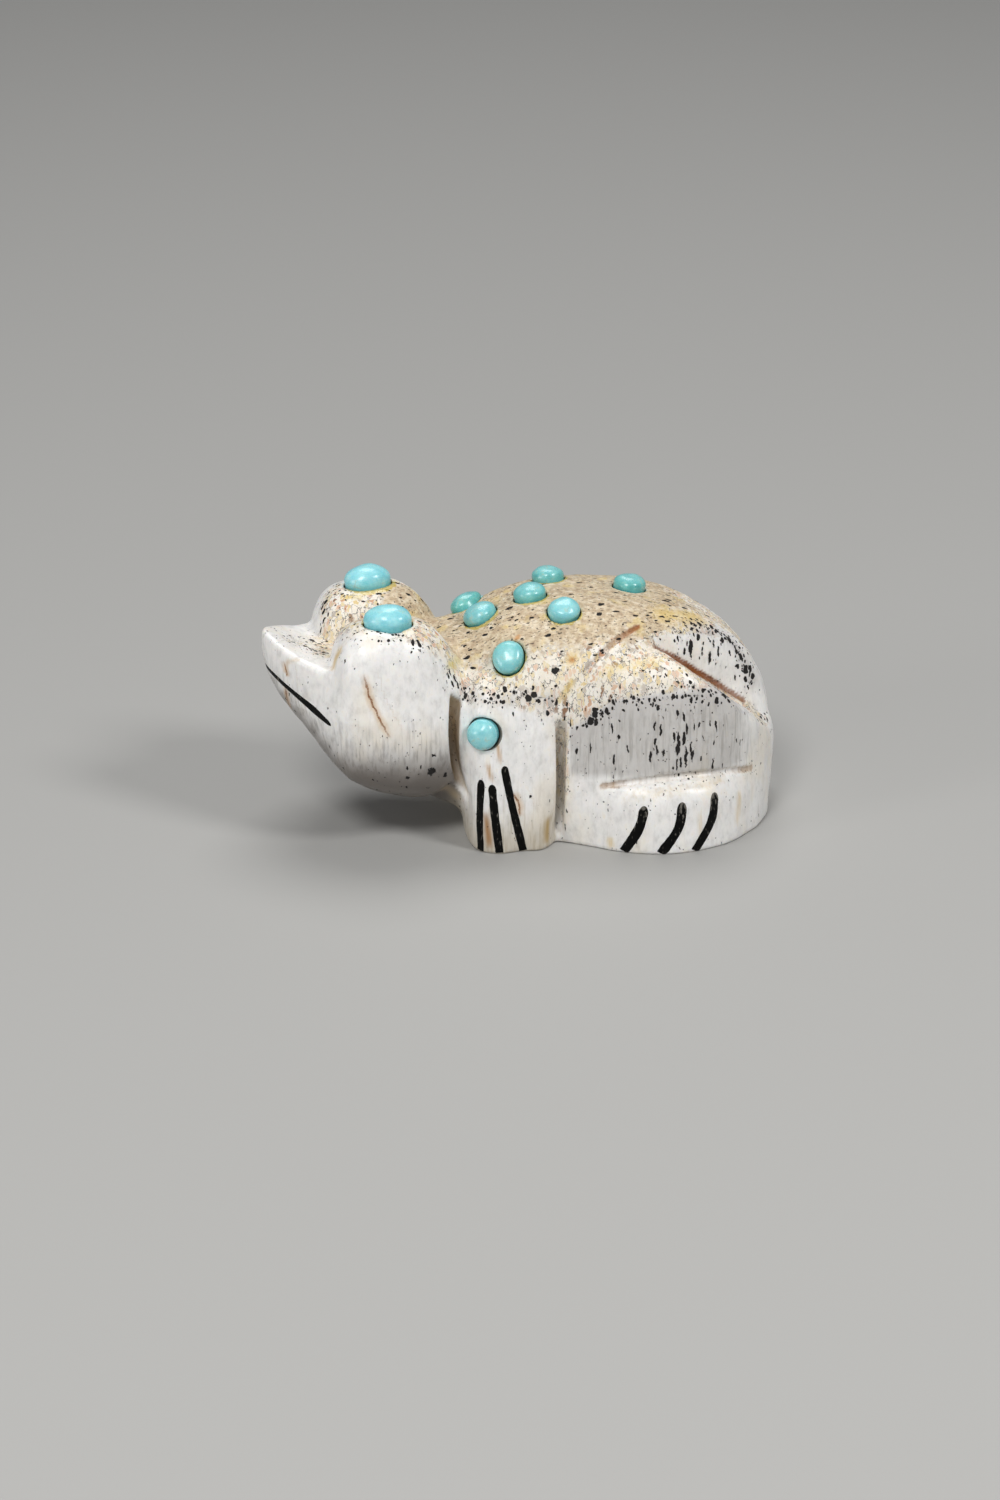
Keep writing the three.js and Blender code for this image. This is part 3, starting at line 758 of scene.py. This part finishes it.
def pores(scale, offset, run, least, largest, crowding):
    """Round-mouthed channels, drawn out by a run each way, as a share of black at each point."""
    channels = stretched(arrows("ADD", bent, offset), run)
    hole = voronoi(channels, scale)
    luck = add("ShaderNodeSeparateColor", {0: hole["Color"]}).outputs[1]
    open_share = plus(minus(luck, 1.0), crowding)
    smallest = times(least, sums("GREATER_THAN", open_share, 0.0))
    radius = times_plus(open_share, largest, smallest)
    rim_share = minus(radius, hole["Distance"])
    return times_plus(rim_share, 20.0, 0.5, clamp=True)


UPRIGHT, ACROSS, LENGTHWISE = (1, 1, 0.22), (1, 1, 0.75), (0.4, 1, 0.8)
in_row = swayed(middling, 0.5, stored("row"))
in_core = ranged(deep, -0.5, -3)
patches = ranged(noise(place, 0.5, 2), 0.42, 0.62, 0.36, 0.76)
dashes = pores(2.7, (2, 6, 3), LENGTHWISE, 0.12, 0.28, times(in_core, 0.55))
specks = pores(2.9, (8, 4, 1), (1, 1, 0.5), 0.14, 0.3, minus(patches, ranged(deep, 1.5, 6, 0.24, 0.42)))
pore = pores(1.8, (3, 1, 2), UPRIGHT, 0.16, 0.28, crowding)
for more in (
    pores(1.1, (11, 7, 5), UPRIGHT, 0.16, 0.5, minus(crowding, 0.4)),
    pores(1.2, (4, 9, 2), ACROSS, 0.14, 0.42, times(in_row, 0.9)),
    pores(2.1, (7, 3, 8), ACROSS, 0.16, 0.3, times(in_row, 0.95)),
    pores(1.5, (5, 2, 9), LENGTHWISE, 0.1, 0.36, times(in_core, patches)),
    times(dashes, 0.62),
    times(specks, 0.75),
):
    pore = larger(pore, more)

# The largest open channels, each with its place and its half sizes in millimetres
VOIDS_ABOVE = (
    ((4.6, -18.7), (0.55, 0.3, 0.5)), ((6.8, 3.8), (0.35, 0.4, 0.5)), ((15.7, -8.4), (0.4, 0.35, 0.5)),
    ((14.8, -11.4), (0.3, 0.3, 0.5)),
)
VOIDS_BESIDE = (
    ((-19.7, 16.9), (0.6, 0.6, 0.5)), ((-19.5, 20.6), (0.25, 0.5, 0.25)), ((-16.9, 15.5), (0.3, 0.5, 0.3)),
    ((-24.5, 16.2), (0.3, 0.5, 0.2)), ((32.6, 36), (0.27, 0.6, 1.1)), ((31.2, 35.6), (0.22, 0.6, 0.5)),
    ((42.9, 29.9), (0.25, 0.6, 0.4)), ((11.7, 26.1), (0.25, 0.5, 0.45)), ((12.9, 27.9), (0.22, 0.5, 0.35)),
    ((10.7, 20.8), (0.13, 0.5, 0.7)), ((27.2, 27.6), (0.15, 0.5, 0.5)), ((27.3, 22.7), (0.14, 0.5, 0.9)),
    ((28.8, 18.7), (0.22, 0.5, 1.3)), ((29.8, 20.6), (0.14, 0.5, 0.8)), ((27, 17.3), (0.13, 0.5, 0.9)),
    ((24.5, 20), (0.13, 0.5, 0.6)), ((30, 30), (0.18, 0.5, 0.5)), ((23.3, 29.1), (0.25, 0.5, 0.45)),
)
nearest = 9.0
voids = [({"above": at}, half) for at, half in VOIDS_ABOVE]
voids += [({"beside": at}, half) for at, half in VOIDS_BESIDE]
for mark, half in voids:
    middle = tuple(to_frame(placed(mark)) / MM)
    away = arrows("DIVIDE", arrows("SUBTRACT", warped, middle), half)
    size = add("ShaderNodeVectorMath", {0: away}, operation="LENGTH").outputs["Value"]
    nearest = smaller(nearest, size)
pore = larger(pore, ranged(nearest, 0.85, 1.1, 1, 0))
near_band = times(ranged(deep, -4, -2.5), ranged(deep, 2.4, 1.2))
outlined = times(outlined, times(near_band, 0.8))

# Stains and painted shade, broken up by the grain, then cracks, and the glue round the stones
stain_and_shade = add("ShaderNodeAttribute", attribute_name="stain_and_shade")
thinness = minus(1.0, stain_and_shade.outputs["Alpha"])
broken = times(thinness, ranged(grain, 0.35, 0.55))
stain_and_shade_share = times(stain_and_shade.outputs["Alpha"], minus(1.0, broken))
colour = blended(stain_and_shade_share, colour, stain_and_shade.outputs["Color"])
crack_line = add("ShaderNodeSeparateXYZ", {0: stored("crack", "Vector")})
strayed = swayed(middling, 0.5, crack_line.outputs[0])
off_line = sums("ABSOLUTE", strayed)
halo = times(ranged(off_line, 0.15, 0.75, 0.5, 0), crack_line.outputs[1])
colour = blended(halo, colour, "#D2AC7C")
split = times(ranged(off_line, 0.05, 0.16, 1, 0), crack_line.outputs[1])
split = times(split, ranged(fine, 0.35, 0.5, 0.5, 1))
crack_colour = blended(crack_line.outputs[2], "#8A5A36", "#C49A6C")
colour = blended(split, colour, crack_colour)
colour = blended(outlined, colour, "#3A302A")
colour = blended(pore, colour, "#161210")
uneven = swayed(middling, 0.7, stored("glue"))
glue_share = ranged(uneven, 0.12, 0.0, 0, 1)
colour = blended(times(glue_share, 0.7), colour, "#CDB44E")
# Painted shade in the gap round each stone's seat.
seat_shade_share = ranged(stored("rim"), 0.08, -0.02, 0, 1)
colour = blended(times(seat_shade_share, 0.85), colour, "#41331F")

finish = polished(place, 0.03, 0.003)
soft = ranged(deep, 1.5, -3.5, 0.26, 0.5)
rough = times_plus(finish["Dulling"], 0.16, soft)
rough = larger(rough, times(pore, 0.8))
rough = smaller(rough, ranged(glue_share, 0.3, 0.8, 1, 0.16))
height = times_plus(pore, -0.16, finish["Height"])
height = times_plus(split, -0.06, height)
height = times_plus(times(walls, ranged(deep, 1, -1)), 0.015, height)
surfaced(
    colour, rough, height,
    Subsurface_Weight=0.12, Subsurface_Scale=1.2 * MM, Subsurface_Radius=(1, 0.7, 0.45),
)

carving_mesh.materials.append(antler)
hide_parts("antler_body")
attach(carving_piece, "root")


# The stones: two eyes, a spot on each front leg and eight spots on the back. Each is a
# turquoise cabochon, a low loaf on a straight stem, ground by eye so that no two are quite
# alike, and glued into its seat.
turquoise, tree, shader = new_material("turquoise")
place = in_millimetres()
mottle = noise(place, 0.9, 4, 0.55)
crest = stored("crest")
colour = banded(mottle, [(0.3, "#80D0DE"), (0.46, "#92DCE7"), (0.58, "#A2E4EC"), (0.75, "#B8EDF1")])
green = banded(mottle, [(0.3, "#4EA39E"), (0.46, "#5EB2AD"), (0.58, "#6EBDB7"), (0.75, "#88CCC5")])
colour = blended(stored("greenness"), colour, green)
# Painted light on each stone: a painted highlight, lighter towards its crest, and painted shade, darker round
# its lower rim.
colour = blended(ranged(crest, 0.35, 1.0, 0, 0.35), colour, "#A8E3E6")
colour = blended(ranged(crest, 0.3, -0.1, 0, 0.45), colour, "#57B3B8")
pushed = arrows("MULTIPLY_ADD", noise(place, 1.2, 3, output="Color"), (1.5, 1.5, 1.5), place)
threads = voronoi(pushed, 0.33, "DISTANCE_TO_EDGE")["Distance"]
vein = times(ranged(threads, 0.0, 0.05, 1, 0), ranged(mottle, 0.5, 0.62))
colour = blended(times(vein, 0.35), colour, "#B9B08A")
flecks = ranged(noise(place, 6, 2), 0.66, 0.72)
colour = blended(times(flecks, 0.3), colour, "#C9ECE6")
finish = polished(place, 0.05, 0.002)
surfaced(
    colour, times_plus(finish["Dulling"], 0.16, 0.2), finish["Height"],
    Subsurface_Weight=0.08, Subsurface_Scale=0.6 * MM, Coat_Weight=0.2, Coat_Roughness=0.16,
)


def new_tree(name, inputs):
    """A Geometry Nodes tree with its named inputs."""
    tree = bpy.data.node_groups.new(name, "GeometryNodeTree")
    tree.interface.new_socket("Geometry", in_out="INPUT", socket_type="NodeSocketGeometry")
    for kind, labels in inputs.items():
        for label in labels:
            tree.interface.new_socket(label, in_out="INPUT", socket_type=kind)
    tree.interface.new_socket("Geometry", in_out="OUTPUT", socket_type="NodeSocketGeometry")
    return tree, tree.nodes.new("NodeGroupInput").outputs


def keeping(geometry, name, value):
    """The geometry with a number stored at each of its points."""
    inputs = {"Geometry": geometry, "Name": name, "Value": value}
    return add("GeometryNodeStoreNamedAttribute", inputs, data_type="FLOAT", domain="POINT").outputs[0]


def combined(*parts):
    return add("ShaderNodeCombineXYZ", dict(enumerate(parts))).outputs[0]


def finished(geometry, material):
    """Ends a tree: real geometry, with its material."""
    real = add("GeometryNodeRealizeInstances", {0: geometry}).outputs[0]
    coated = add("GeometryNodeSetMaterial", {"Geometry": real, "Material": material}).outputs[0]
    tree.links.new(coated, tree.nodes.new("NodeGroupOutput").inputs[0])


def made_by(tree, name, values, start=None):
    """What a tree makes from these values, as an object with a plain mesh."""
    holder = add_object(name, start or bpy.data.meshes.new(name))
    making = holder.modifiers.new("making", "NODES")
    making.node_group = tree
    for item in tree.interface.items_tree:
        if item.in_out == "INPUT" and item.name in values:
            making[item.identifier] = values[item.name]
    graph = bpy.context.evaluated_depsgraph_get()
    mesh = bpy.data.meshes.new_from_object(holder.evaluated_get(graph))
    holder.modifiers.remove(making)
    holder.data = mesh
    mesh.shade_smooth()
    return holder


tree, given = new_tree("cabochon", {
    FLOAT: ("Length", "Width", "Rise", "Stem", "Egg", "Unevenness", "Greenness"), WHOLE: ("Seed",),
})
ball = add("GeometryNodeMeshUVSphere", {"Segments": 56, "Rings": 32, "Radius": 1.0}).outputs[0]
spot = add("GeometryNodeInputPosition").outputs[0]
axes = add("ShaderNodeSeparateXYZ", {0: spot}).outputs
up_side = sums("GREATER_THAN", axes[2], 0.0)
# The powers of the loaf above the seat and of the straight stem below
power = times_plus(up_side, 0.52, 0.34)
tall = sums("POWER", sums("ABSOLUTE", axes[2]), power)
reach = times_plus(up_side, plus(given["Rise"], given["Stem"]), times(given["Stem"], -1.0))
radius = sums("SQRT", larger(minus(1.0, times(axes[2], axes[2])), 1e-6))
swell = sums("POWER", radius, minus(power, 1.0))
# The loaf swells a little over the rim of its seat, and one end is narrower
over_rim = times(times(up_side, tall), minus(1.0, tall))
swell = times(swell, times_plus(over_rim, 0.16, 1.0))
narrow = times_plus(times(axes[0], given["Egg"]), up_side, 1.0)
seeded = combined(times(given["Seed"], 3.7), 0.0, 0.0)
worn = noise(arrows("ADD", spot, seeded), 0.9, 1)
worn = times(minus(worn, 0.5), times(given["Unevenness"], up_side))
grown = plus(times(worn, tall), 1.0)
x_out = times(times(axes[0], swell), times(given["Length"], 0.5))
y_out = times(times(axes[1], swell), times(given["Width"], 0.5))
shaped = combined(times(x_out, grown), times(times(y_out, narrow), grown), times(times(tall, reach), grown))
# How high on the stone each point is, for its painted highlight and painted shade.
crested = keeping(ball, "crest", times(tall, times_plus(up_side, 2.0, -1.0)))
toned = keeping(crested, "greenness", given["Greenness"])
finished(add("GeometryNodeSetPosition", {"Geometry": toned, "Position": shaped}).outputs[0], turquoise)
cabochon = tree

for seed, (name, stone) in enumerate(STONES.items()):
    piece = made_by(cabochon, f"turquoise_{name}", {
        "Length": stone["length"] * MM, "Width": stone["width"] * MM, "Rise": stone["rise"] * MM,
        "Stem": SEAT_DEPTH * MM, "Egg": 0.06 * (-1) ** seed, "Unevenness": 0.3, "Seed": seed + 3,
        "Greenness": 0.1 if "eye" in name else 0.65 + 0.3 * sin(2.4 * seed),
    })
    point, along, across, up = STONE_FRAMES[name]
    turned = Matrix(np.column_stack([along, across, up]).tolist()).to_4x4()
    piece.data.transform(Matrix.Translation(to_frame(point)) @ turned)
    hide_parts(name)
    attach(piece, "root")


# The black lines: three toe lines on each foot and the mouth. Each is a saw cut filled with
# black jet paste, sanded flush with the antler, with a round top where the saw came out.
jet, tree, shader = new_material("jet_inlay")
place = in_millimetres()
clouds = noise(place, 1.4, 4, 0.6)
colour = banded(clouds, [(0.35, "#030303"), (0.6, "#070706"), (0.74, "#1E1D1A")])
# The heads of the hind lines are paler grey in patches.
patchiness = noise(stretched(place, (3, 3, 1)), 1.3, 3)
worn_head = times_plus(stored("worn_head"), 0.24, patchiness)
colour = blended(ranged(worn_head, 0.6, 0.74, 0, 0.75), colour, "#7D7971")
finish = polished(place, 0.04, 0.005)
surfaced(
    colour, times_plus(finish["Dulling"], 0.3, 0.34), finish["Height"],
    Specular_IOR_Level=0.12,
)

tree, given = new_tree("line let in", {
    "NodeSocketObject": ("Antler",), WHOLE: ("Points Along",),
    FLOAT: ("Width", "Width Midway", "Head", "Tail", "Depth", "Proud", "Wander", "Pale Head"),
})
path = add("GeometryNodeMeshToCurve", {0: given["Geometry"]}).outputs[0]
body = add("GeometryNodeObjectInfo", {0: given["Antler"]}).outputs["Geometry"]
ribbon = add("GeometryNodeMeshGrid", {
    "Size X": 1.0, "Size Y": 1.0, "Vertices X": given["Points Along"], "Vertices Y": 7,
}).outputs[0]
spot = add("ShaderNodeSeparateXYZ", {0: add("GeometryNodeInputPosition").outputs[0]}).outputs
along = plus(spot[0], 0.5)
on_path = add("GeometryNodeSampleCurve", {"Curves": path, "Factor": along}, mode="FACTOR")
on_path = {o.name: o for o in on_path.outputs if o.name in ("Position", "Tangent")}
outward = add("GeometryNodeInputNamedAttribute", {"Name": "outward"}, data_type="FLOAT_VECTOR").outputs[0]


def lengthened(arrow, length):
    return add("ShaderNodeVectorMath", {0: arrow, "Scale": length}, operation="SCALE").outputs[0]


def facing(where):
    """The antler's own outward direction nearest to a place."""
    inputs = {"Mesh": body, "Value": outward}
    if where:
        inputs["Sample Position"] = where
    return add("GeometryNodeSampleNearestSurface", inputs, data_type="FLOAT_VECTOR").outputs[0]


sideways = arrows("NORMALIZE", arrows("CROSS_PRODUCT", facing(on_path["Position"]), on_path["Tangent"]))
from_middle = sums("POWER", sums("ABSOLUTE", times(spot[0], 2.0)), 1.4)
width = add("ShaderNodeMix", {0: from_middle, 2: given["Width Midway"], 3: given["Width"]}).outputs[0]
wander = noise(stretched(on_path["Position"], (1 / MM,) * 3), 0.8, 2)
width = times(width, swayed(wander, given["Wander"], 1.0))


def rounded(share, length):
    """A line's end, drawn in as a quarter circle over a share of its length."""
    left = minus(1.0, sums("DIVIDE", share, length, clamp=True))
    return sums("SQRT", minus(1.0, times(left, left), clamp=True))


width = times(width, rounded(along, given["Head"]))
width = times(width, rounded(minus(1.0001, along), given["Tail"]))
spread = arrows("ADD", on_path["Position"], lengthened(sideways, times(width, spot[1])))
nearest = add("GeometryNodeProximity", {0: body, "Sample Position": spread}, target_element="FACES")
proud = arrows("ADD", nearest.outputs["Position"], lengthened(facing(spread), given["Proud"]))
# How near the line's head each point is, for the paler grey there.
worn_head = minus(1.0, times(along, 3.2), clamp=True)
ribbon = keeping(ribbon, "worn_head", times(worn_head, given["Pale Head"]))
face = add("GeometryNodeSetPosition", {"Geometry": ribbon, "Position": proud}).outputs[0]
inwards = lengthened(facing(None), -1.0)
sunk_face = add("GeometryNodeExtrudeMesh", {
    "Mesh": face, "Offset": inwards, "Offset Scale": given["Depth"], "Individual": False,
}, mode="FACES").outputs[0]
under = add("GeometryNodeFlipFaces", {0: sunk_face}).outputs[0]
both = tree.nodes.new("GeometryNodeJoinGeometry")
tree.links.new(face, both.inputs[0])
tree.links.new(under, both.inputs[0])
closed = add("GeometryNodeMergeByDistance", {"Geometry": both.outputs[0], "Distance": 0.002 * MM}).outputs[0]
finished(closed, jet)
let_in = tree

TOE_LINES = {
    "front_toe_line_1": ((-10.4, 15.2), (-10.7, 7), (-10.5, 0.3)),
    "front_toe_line_2": ((-8.5, 14.4), (-8, 8), (-7.1, 0.3)),
    "front_toe_line_3": ((-6.1, 18), (-4.6, 10), (-2.4, 0.3)),
    "hind_toe_line_1": ((20.3, 10.1), (19.2, 5.4), (16.6, 0.3)),
    "hind_toe_line_2": ((27.6, 10.6), (26.8, 5.4), (23.4, 0.3)),
    "hind_toe_line_3": ((34.4, 11.4), (33.6, 6), (30.2, 0.3)),
}
TOE_WIDTHS, MOUTH_WIDTHS = {"front": 0.98, "hind": 1.2}, (1.15, 0.55)
LINE_DEPTH, MOUTH_POINTS = 0.6, 41
MOUTH = dict(about=(-32, 0, 21.8), slope=0.62, turn=1.1)


def inlay(name, node, points, values):
    """A line along points on the antler, sanded flush."""
    count = len(points)
    route = bpy.data.meshes.new(name)
    route.from_pydata(to_frame(points).tolist(), [(i, i + 1) for i in range(count - 1)], [])
    piece = made_by(let_in, name, dict(
        values, Antler=carving_piece, Depth=LINE_DEPTH * MM, Proud=0.02 * MM, Wander=0.35,
    ), route)
    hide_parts(node)
    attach(piece, "root")


for name, ends in TOE_LINES.items():
    flat_path = smooth_path(ends, PATH_POINTS)
    wide = TOE_WIDTHS[name.split("_")[0]]
    for side, side_name in ((-1, "left"), (1, "right")):
        starts = np.column_stack([flat_path[:, 0], 0 * flat_path[:, 0], flat_path[:, 1]])
        route = surface_along(starts, np.tile((0.0, side, 0), (len(starts), 1)), carving)
        run = norm(np.diff(route, axis=0), axis=1).sum() * UNIT / MM
        inlay(f"jet_{side_name}_{name}", f"{side_name}_{name}", route, {
            "Width": wide * MM, "Width Midway": wide * MM, "Head": 0.9 * wide / run, "Tail": 1e-4,
            "Points Along": 90, "Pale Head": 1.0 if "hind" in name else 0.0,
        })

turns = np.linspace(-MOUTH["turn"], MOUTH["turn"], MOUTH_POINTS)
forward = np.array([-cos(MOUTH["slope"]), 0, sin(MOUTH["slope"])])
starts = np.tile(np.array(MOUTH["about"], float), (len(turns), 1))
ways = np.cos(turns)[:, None] * forward + np.sin(turns)[:, None] * (0, 1, 0)
inlay("jet_mouth_line", "mouth_line", surface_along(starts, ways, carving), {
    "Width": MOUTH_WIDTHS[0] * MM, "Width Midway": MOUTH_WIDTHS[1] * MM, "Head": 0.14, "Tail": 0.14,
    "Points Along": 160,
})


# The stand: a plain pale floor, soft lamps, and the camera at the photograph's angle
IMAGE = (1000, 1500)
SCALE = 8.1                     # pixels of the picture for each millimetre at the frog
VIEW_TURN, VIEW_RISE = radians(-11), radians(22)
VIEW_DISTANCE = 0.62
SENSOR = 36
towards = Vector((
    sin(VIEW_TURN) * cos(VIEW_RISE), -cos(VIEW_TURN) * cos(VIEW_RISE), sin(VIEW_RISE)
))
camera = add_object("camera", bpy.data.cameras.new("camera"))
camera.data.sensor_width = SENSOR
camera.data.lens = SCALE * VIEW_DISTANCE / MM / IMAGE[1] * SENSOR
camera.rotation_euler = towards.to_track_quat("Z", "Y").to_euler()
turned = camera.rotation_euler.to_matrix()
FROG_IN_PICTURE = (515.8, 807.0)
aim = turned @ Vector((
    (IMAGE[0] / 2 - FROG_IN_PICTURE[0]) / SCALE * MM, (FROG_IN_PICTURE[1] - IMAGE[1] / 2) / SCALE * MM, 0
))
camera.location = aim + towards * VIEW_DISTANCE
scene.camera = camera

floor_paint, tree, shader = new_material("pale_floor")
shader.inputs["Base Color"].default_value = shade("#ADACA9")
shader.inputs["Roughness"].default_value = 0.7
corners = np.array([(-2, -2, 0), (2, -2, 0), (2, 2, 0), (-2, 2, 0)], float)
floor_mesh = mesh_of("floor", corners, np.array([(0, 1, 2, 3)]))
floor_mesh.materials.append(floor_paint)
floor_piece = add_object("floor", floor_mesh)

world = bpy.data.worlds.new("studio")
world.use_nodes = True
sky = world.node_tree.nodes["Background"].inputs
sky["Color"].default_value = (0.92, 0.95, 1, 1)
sky["Strength"].default_value = 0.1
scene.world = world
scene.view_settings.view_transform = "Standard"
# Each lamp: where it is, its size and its watts
LAMPS = {
    "key": ((-0.22, -0.4, 0.52), 0.2, 1.95),
    "left": ((-0.52, -0.2, 0.16), 0.2, 0.72),
    "second": ((0.32, -0.34, 0.42), 0.16, 1.55),
    "top": ((0.05, 0.25, 0.6), 0.4, 1.8),
}
for name, (at, size, watts) in LAMPS.items():
    light = bpy.data.lights.new(name, "AREA")
    light.shape = "DISK"
    light.size = size
    light.energy = watts
    holder = add_object(name, light)
    holder.location = at
    holder.rotation_euler = Vector(at).to_track_quat("Z", "Y").to_euler()

bpy.context.view_layer.update()
